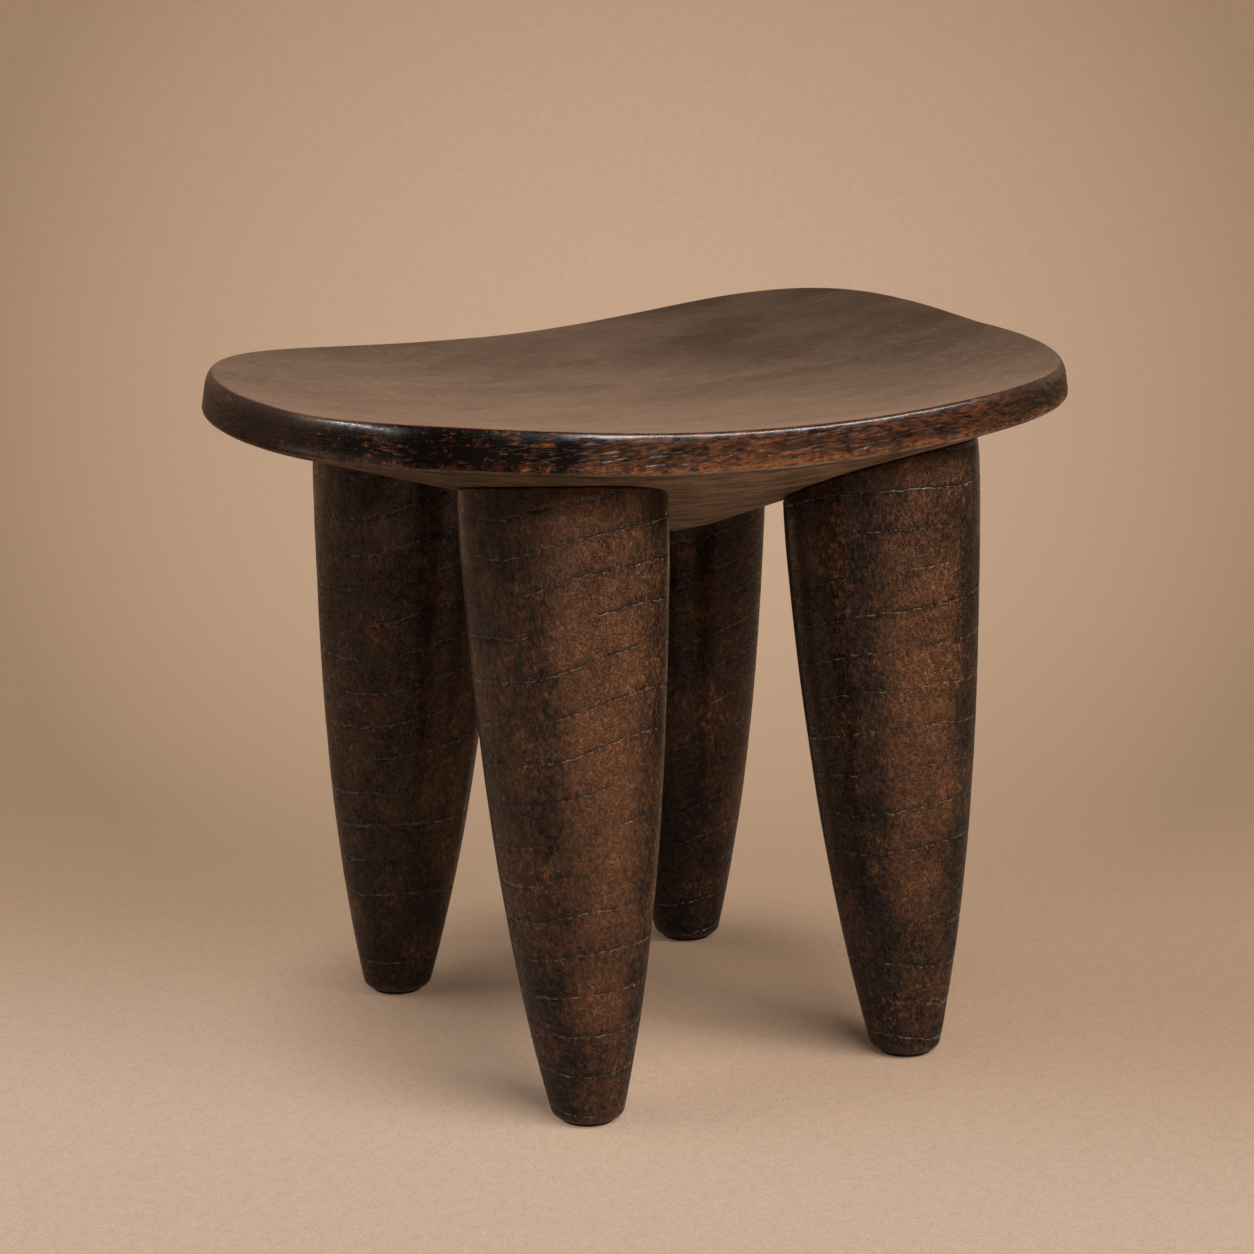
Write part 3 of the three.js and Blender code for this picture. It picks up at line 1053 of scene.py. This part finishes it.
def leg_material():
    material, net, shader = new_material("Dark stained legs")
    place = net.node("ShaderNodeAttribute", attribute_name=PLACE_ATTRIBUTE).outputs["Vector"]
    grain = place_group(net, fibre_tree(), {"Place": place, "Fibre Scale": (950.0, 950.0, 430.0)})
    fibre, clouds, specks, wrinkles = (grain[k] for k in ("Fibre", "Clouds", "Specks", "Wrinkles"))
    wear = place_group(net, wear_and_shade_tree(), {"Ragged": specks})
    holes = place_group(net, pits_tree(), {"Place": place, "Size": 0.0036, "Share": 0.7})["Pits"]
    over, open_here = crack_lines(net, place)
    apart = over.math("ABSOLUTE")
    cracks = apart.soft(0.0004, 0.0001) * open_here
    # Painted glints: a thin pale line along the lower lip of each open crack
    painted_lip_glints = over.soft(-0.0012, -0.0007) * over.soft(-0.0002, -0.0006) * open_here * specks
    stained = apart.soft(0.004, 0.0) * open_here

    x, y, height = net.split(net.node("ShaderNodeTexCoord").outputs["Object"])
    turned = net.node(
        "ShaderNodeVectorMath",
        {0: net.node("ShaderNodeNewGeometry").outputs["Normal"], 1: SHEEN_SIDE},
        operation="DOT_PRODUCT",
    )
    front, right = y.soft(0.04, -0.04), x.soft(0.0, 0.1)
    # Painted highlight: on the front legs the stain is lighter on the side facing the main lamp,
    # half as much at the feet
    painted_sheen = Signal(net, turned.outputs["Value"]).soft(0.79, 1.0) * front
    painted_sheen = painted_sheen * (height.soft(0.0, 0.16) * 0.5 + 0.5)
    lightness = clouds * 0.24 + specks * 0.24 + fibre * 0.3 - 0.16 - stained * 0.16 - wrinkles * 0.16
    # The painted highlight is added here; painted shade darkens the front right leg away from it,
    # and darkens the lit side just under the seat
    lightness = lightness + painted_sheen * (0.44 - right * 0.13) - (1.0 - painted_sheen) * right * front * 0.11
    lightness = lightness - height.soft(0.24, 0.29) * painted_sheen * 0.14
    # Darker towards the feet
    lightness = (lightness - (height + 0.05 * clouds).soft(0.17, 0.03) * 0.1).clamp()
    stain = net.mix_colour(lightness, rgba(17, 11, 8), rgba(114, 74, 48))
    flecks = (fibre * specks * clouds).soft(0.4, 0.85)
    stain = net.mix_colour(flecks * 0.45, stain, rgba(148, 90, 50))
    # Pale where the edges are polished, which is wear, and along the cracks' lips, which is a
    # painted glint
    stain = net.mix_colour((wear["Polish"] * 0.3 + painted_lip_glints * 0.8).clamp(), stain, rgba(136, 112, 94))
    marks = (cracks + holes + wear["Dirt"]).clamp()
    stain = net.mix_colour(marks * 0.92, stain, rgba(7, 6, 6))
    glazed = wrinkles * 0.7 + holes + cracks + height.soft(0.235, 0.31) * clouds * 0.5
    net.feed(
        shader,
        {
            "Base Color": stain,
            "Roughness": 0.42 + fibre * 0.14,
            "Specular IOR Level": 0.12,
            "Coat Weight": glazed.clamp(),
            "Coat Roughness": 0.18,
        },
    )
    relief = fibre * 0.16 + specks * 0.5 - wrinkles * 1.2 - cracks * 1.5 - holes * 1.3
    add_bump(net, shader, relief, 0.0007)
    return material


def seat_material():
    material, net, shader = new_material("Dark waxed seat")
    place = net.node("ShaderNodeTexCoord").outputs["Object"]
    x, y, _ = net.split(place)
    normal_z = net.split(net.node("ShaderNodeNewGeometry").outputs["Normal"])[2]
    top = normal_z.soft(0.8, 0.97)
    belly = normal_z.soft(-0.3, -0.6)
    rim = (1.0 - top) * (1.0 - belly)
    grain = place_group(net, fibre_tree(), {"Place": place, "Fibre Scale": (150.0, 800.0, 1300.0)})
    fibre, clouds, specks = grain["Fibre"], grain["Clouds"], grain["Specks"]
    wear = place_group(net, wear_and_shade_tree(), {"Ragged": specks})
    polish = wear["Polish"]
    long_place = net.vector("MULTIPLY", place, (0.4, 1.0, 1.0))
    pits = place_group(net, pits_tree(), {"Place": long_place, "Size": 0.005, "Share": 0.12})
    holes = pits["Pits"]
    pores = dashes(net, place)
    wrinkles = net.noise(place, (0.008, 0.008, 0.0016), detail=2.0, distortion=0.8, shift=4.0)
    patchy = clouds * 0.4 + specks * 0.35 + fibre * 0.25
    drawn = net.noise(place, (0.007, 0.007, 0.0017), detail=3.0, roughness=0.65, shift=6.0)
    drawn = drawn.soft(0.38, 0.62)

    drift = x + 0.04 * (clouds - 0.5)
    # Handling wear and painted light: from a little left of the middle on, the rim's face is
    # painted lighter and made glossier; to the left it stays near black, painted shade in place of
    # the dark surroundings it reflects
    handled_and_lit = drift.soft(-0.19, -0.13)
    left_end = x.soft(-0.19, -0.205) * (y + 0.03 * (clouds - 0.5)).soft(-0.075, -0.035)
    down = net.noise(place, (0.05, 0.05, 0.006), detail=2.0, shift=13.0) - 0.5
    lightness = (clouds * 0.28 + drawn * 0.36 + fibre * 0.2 + handled_and_lit * 0.43 - 0.5 + down * 0.4).clamp()
    face = net.mix_colour(lightness, rgba(12, 8, 7), rgba(108, 66, 41))
    face = net.mix_colour(left_end * 0.4, face, rgba(38, 22, 13))
    # Painted shade: the face is darker towards its right end
    face = net.mix_colour(drift.soft(0.07, 0.13) * 0.93, face, rgba(22, 13, 9))
    flecks = (drawn * fibre).soft(0.65, 1.0) * clouds
    face = net.mix_colour(flecks * 0.5, face, rgba(160, 90, 46))

    streaks = net.noise(
        place, (0.09, 0.03, 0.03), detail=4.0, roughness=0.6, distortion=0.3, shift=3.0
    )
    # Painted sheen: the top is lighter towards its near left side and through its middle, in place
    # of the light it reflects; the streaks are grain
    middle = (1.0 - (x + 0.04) * (x + 0.04) * 45.0).clamp()
    near_side = 0.475 - x * 1.4 - y * 2.8
    painted_top_sheen = near_side.math("MAXIMUM", 0.08).clamp() * 0.75
    painted_top_sheen = painted_top_sheen + middle * 0.17 + streaks.soft(0.3, 0.7) * 0.2
    seat = net.mix_colour(painted_top_sheen, rgba(44, 32, 25), rgba(142, 113, 93))
    # Darker with the wood's patchy tone, and painted shade darkens the top towards its right end
    shade = (1.0 - patchy).clamp() * 0.25 + x.soft(0.12, 0.2) * 0.25
    seat = net.mix_colour(shade, seat, rgba(44, 33, 26))

    brushed = net.noise(place, (0.03, 0.008, 0.012), detail=4.0, distortion=0.5).soft(0.32, 0.68)
    brushed = patchy * 0.3 + fibre * 0.25 + brushed * 0.45
    under = net.mix_colour(brushed.clamp(), rgba(46, 38, 31), rgba(162, 138, 117))
    # Painted shade: the belly is darker towards its left
    under = net.mix_colour(x.soft(-0.04, -0.16) * 0.6, under, rgba(36, 27, 20))

    stain = net.mix_colour(top, face, seat)
    stain = net.mix_colour(belly, stain, under)
    crest = polish * normal_z.soft(0.6, 0.85) * normal_z.soft(1.0, 0.95)
    stain = net.mix_colour(crest * 0.8, stain, rgba(70, 28, 14))
    bare = polish * rim * normal_z.soft(0.3, 0.0) * (0.1 + 0.5 * handled_and_lit) * patchy.soft(0.35, 0.6)
    stain = net.mix_colour(bare, stain, rgba(140, 78, 40))
    strokes = net.noise(place, (0.018, 0.0018, 0.018), detail=1.0, shift=7.0).soft(0.62, 0.7) * top
    # The creases are darkened as dirt and as painted shade; pores, pits and strokes are marks in
    # the wood
    marks = pores * rim * (0.3 + handled_and_lit * 0.4) + holes * 0.5 + strokes * 0.3 + wear["Dirt"]
    stain = net.mix_colour(marks.clamp() * 0.9, stain, rgba(9, 6, 5))
    left_corner = x.soft(-0.213, -0.221) * y.soft(-0.02, -0.06)
    glossy = (left_corner + x.soft(-0.165, -0.14) * x.soft(0.18, 0.12)).clamp()
    sheen = (0.35 * handled_and_lit + pores * handled_and_lit + polish * 2.0).clamp()
    net.feed(
        shader,
        {
            "Base Color": stain,
            "Roughness": 0.28 + top * 0.05 + belly * 0.3 + fibre * 0.08 - pores * 0.1,
            "Specular IOR Level": 0.07,
            "Coat Weight": rim * glossy * sheen,
            "Coat Roughness": 0.24,
        },
    )
    rough = (wrinkles * 1.2 - pores * 1.4) * rim * handled_and_lit * (1.0 - polish)
    relief = (fibre * 0.12 + specks * 0.16) * (1.0 - polish * 0.8) + rough - holes * 0.8
    add_bump(net, shader, relief, 0.0004)
    return material


def wedge_material():
    material, net, shader = new_material("Bare wedge wood")
    place = net.node("ShaderNodeTexCoord").outputs["Object"]
    grain = place_group(net, fibre_tree(), {"Place": place, "Fibre Scale": (900.0, 900.0, 120.0)})
    wood = net.mix_colour(grain["Fibre"], rgba(150, 112, 74), rgba(196, 156, 110))
    net.feed(shader, {"Base Color": wood, "Roughness": 0.8})
    add_bump(net, shader, grain["Fibre"], 0.0002)
    return material


def pad_material():
    material, net, shader = new_material("Black foot pad")
    place = net.node("ShaderNodeTexCoord").outputs["Object"]
    speckle = net.noise(place, 0.0012, detail=2.0)
    rubber = net.mix_colour(speckle.soft(0.35, 0.7), rgba(14, 13, 12), rgba(34, 32, 30))
    net.feed(shader, {"Base Color": rubber, "Roughness": 0.75 + speckle * 0.2})
    add_bump(net, shader, speckle, 0.0002)
    return material


class STOOL_OT_fittings(bpy.types.Operator):
    """Give the wedges and the foot pads their finish"""

    bl_idname = "stool.fittings"
    bl_label = "Wedges and Pads"

    def execute(self, context):
        for kind, material in (("wedge", wedge_material()), ("foot_pad", pad_material())):
            for place in PLACES:
                dress(frame["nodes"][f"{kind}_{place}"], material)
        return {"FINISHED"}


# Stage

FLOOR_SIDES = 96
LAMP_AIM = Vector((0, 0, 0.2))
LAMP_TINT = (1.0, 0.98, 0.95)
CAMERA_HEIGHT = 0.638


def seen_or_mirrored(net):
    """1 on the rays that show a surface, straight or in a reflection"""
    rays = net.node("ShaderNodeLightPath").outputs
    camera, glossy = Signal(net, rays["Is Camera Ray"]), Signal(net, rays["Is Glossy Ray"])
    return camera.math("MAXIMUM", glossy)


def floor_material(settings):
    """A pale paper floor that fades and runs on as a sweep with a soft glow behind the stool"""
    material, net, shader = new_material("Studio floor")
    place = net.node("ShaderNodeTexCoord").outputs["Object"]
    x, y, _ = net.split(place)
    ahead, across = math.cos(settings.heading), math.sin(settings.heading)
    behind = x * ahead + y * across
    aside = x * across - y * ahead
    squared = x * x + y * y
    distance = squared.math("SQRT")

    curls = net.noise(place, 0.0042, detail=1.0, distortion=1.4, shift=2.0) - 0.5
    weave = net.noise(place, 0.0013, detail=3.0, roughness=0.7).soft(0.25, 0.75) * 0.7
    weave = weave + curls.math("ABSOLUTE").soft(0.07, 0.0) * 0.3
    mottle = net.noise(place, 0.006, detail=2.0).soft(0.3, 0.7)
    # Painted falloff: the paper is darker away from the camera and towards the right
    painted_falloff = (behind + 0.29 * aside).soft(-0.25, 0.13)
    paper = net.mix_colour(painted_falloff, (*settings.floor_colour, 1.0), (*settings.paper_colour, 1.0))
    paper = net.mix_colour(weave * 0.34 + mottle * 0.06, paper, (0.16, 0.105, 0.07, 1.0))
    lit = net.mix_colour(0.1, paper, (0.0, 0.0, 0.0, 1.0))
    net.feed(shader, {"Base Color": lit, "Roughness": 0.95, "Specular IOR Level": 0.15})
    add_bump(net, shader, weave, 0.0003)

    reach = (behind + 1.8).math("MAXIMUM", 0.9)
    slant = aside * aside / (reach * reach)
    depth = CAMERA_HEIGHT / reach - 0.175
    glow = 1.0 - slant * (22.0 + 110.0 * slant) - 28.0 * depth * depth
    sweep = net.mix_colour(glow, (*settings.backdrop_colour, 1.0), (*settings.glow_colour, 1.0))
    fine = net.noise(net.join(x / distance, y / distance, 0.64 / distance), 0.0022, detail=2.0)
    sweep = net.mix_colour(fine.soft(0.2, 0.8) * 0.07, sweep, (0.1, 0.07, 0.05, 1.0))
    shown = net.mix_colour(behind.soft(0.1, 0.45), paper, sweep)
    mirrored = Signal(net, net.node("ShaderNodeLightPath").outputs["Is Glossy Ray"])
    # Painted reflection: off to the sides, reflections see the floor nearly black
    off_frame = slant.soft(0.05, 0.3) * distance.soft(0.5, 1.2) * mirrored
    shown = net.mix_colour(off_frame * 0.6, shown, (0.03, 0.02, 0.014, 1.0))
    emission = net.node("ShaderNodeEmission", {"Color": shown, "Strength": 1.0})
    far = distance.soft(0.11, 0.24) * 0.85 + distance.soft(0.3, 1.1) * 0.15
    shown = net.mix_shader(far * seen_or_mirrored(net), shader, emission)
    from_below = net.node("ShaderNodeNewGeometry").outputs["Backfacing"]
    shown = net.mix_shader(from_below, shown, net.node("ShaderNodeBsdfTransparent"))
    output = next(n for n in net.tree.nodes if n.type == "OUTPUT_MATERIAL")
    net.plug(shown.outputs[0], output.inputs[0])
    return material


def studio_world(settings):
    """Soft light from all round, and the studio over the sweep where it is seen or mirrored"""
    world = bpy.data.worlds.new("Studio")
    world.use_nodes = True
    net = Net(world.node_tree)
    world.node_tree.nodes.clear()
    x, y, height = net.split(net.node("ShaderNodeTexCoord").outputs["Generated"])
    rays = net.node("ShaderNodeLightPath").outputs
    towards = x * math.cos(settings.heading) + y * math.sin(settings.heading)
    lit = towards.soft(-0.3, 0.6) * height.soft(0.85, 0.3)
    lit = lit.math("MAXIMUM", rays["Is Camera Ray"])
    dim = (*(0.15 * channel for channel in settings.backdrop_colour), 1.0)
    studio = net.mix_colour(lit, dim, (*settings.glow_colour, 1.0))
    soft = {"Color": (1.0, 0.97, 0.93, 1.0), "Strength": settings.sky}
    light = net.node("ShaderNodeBackground", soft)
    drop = net.node("ShaderNodeBackground", {"Color": studio, "Strength": 1.0})
    mix = net.mix_shader(seen_or_mirrored(net), light, drop)
    net.node("ShaderNodeOutputWorld", {0: mix.outputs[0]})
    bpy.context.scene.world = world


def softbox(name, azimuth, elevation, distance, width, height, power):
    """A softbox that faces the stool; azimuth is counted from +X towards +Y"""
    a, e = math.radians(azimuth), math.radians(elevation)
    way = Vector((math.cos(a) * math.cos(e), math.sin(a) * math.cos(e), math.sin(e)))
    lamp = bpy.data.lights.new(name, "AREA")
    lamp.shape = "RECTANGLE"
    lamp.size, lamp.size_y = width, height
    lamp.energy = power
    lamp.color = LAMP_TINT
    holder = new_object(name, lamp)
    holder.location = LAMP_AIM + way * distance
    holder.rotation_euler = (-way).to_track_quat("-Z", "Y").to_euler()


class STOOL_OT_stage(bpy.types.Operator):
    """Set the floor, the softboxes and the camera"""

    bl_idname = "stool.stage"
    bl_label = "Studio"

    def execute(self, context):
        settings = context.scene.stool_studio
        edge = circle(settings.floor_radius, FLOOR_SIDES)
        rim = np.column_stack([edge, np.zeros(FLOOR_SIDES)])
        mesh = bpy.data.meshes.new("floor")
        mesh.from_pydata(rim.tolist(), [], [list(range(len(rim)))])
        mesh.materials.append(floor_material(settings))
        floor = new_object("studio_floor", mesh)
        studio_world(settings)
        softbox("key_softbox", -88, 44, 2.8, 2.4, 1.8, settings.key)
        softbox("sparkle_lamp", -54, 38, 2.5, 1.1, 0.12, settings.sparkle)
        softbox("fill_softbox", 168, 34, 2.1, 0.4, 1.1, settings.fill)
        softbox("kicker_lamp", 138, 34, 2.1, 1.3, 0.07, settings.kicker)
        camera = bpy.data.cameras.new("camera")
        camera.sensor_width = 36.0
        camera.lens = settings.lens
        camera.clip_start, camera.clip_end = 0.05, 60.0
        holder = new_object("camera", camera)
        holder.location = settings.camera_place
        holder.rotation_euler = Euler(settings.camera_turn)
        context.scene.camera = holder
        context.scene.view_settings.view_transform = "Standard"
        return {"FINISHED"}


class STOOL_PT_panel(bpy.types.Panel):
    """Builds the stool step by step"""

    bl_label = "Carved Low Stool"
    bl_idname = "STOOL_PT_panel"
    bl_space_type = "VIEW_3D"
    bl_region_type = "UI"
    bl_category = "Stool"

    def draw(self, context):
        for operator in OPERATORS:
            self.layout.operator(operator.bl_idname)


SETTINGS = {"stool_seat": SeatSizes, "stool_legs": LegSizes, "stool_studio": StudioSettings}
OPERATORS = (STOOL_OT_seat, STOOL_OT_legs, STOOL_OT_joints, STOOL_OT_fittings, STOOL_OT_stage)
CLASSES = (*SETTINGS.values(), *OPERATORS, STOOL_PT_panel)


def register():
    for cls in CLASSES:
        bpy.utils.register_class(cls)
    for name, cls in SETTINGS.items():
        setattr(bpy.types.Scene, name, PointerProperty(type=cls))


def unregister():
    for name in SETTINGS:
        delattr(bpy.types.Scene, name)
    for cls in reversed(CLASSES):
        bpy.utils.unregister_class(cls)


def main():
    register()
    bpy.ops.stool.seat()
    bpy.ops.stool.legs()
    bpy.ops.stool.joints()
    bpy.ops.stool.fittings()
    bpy.ops.stool.stage()


if __name__ == "__main__":
    main()
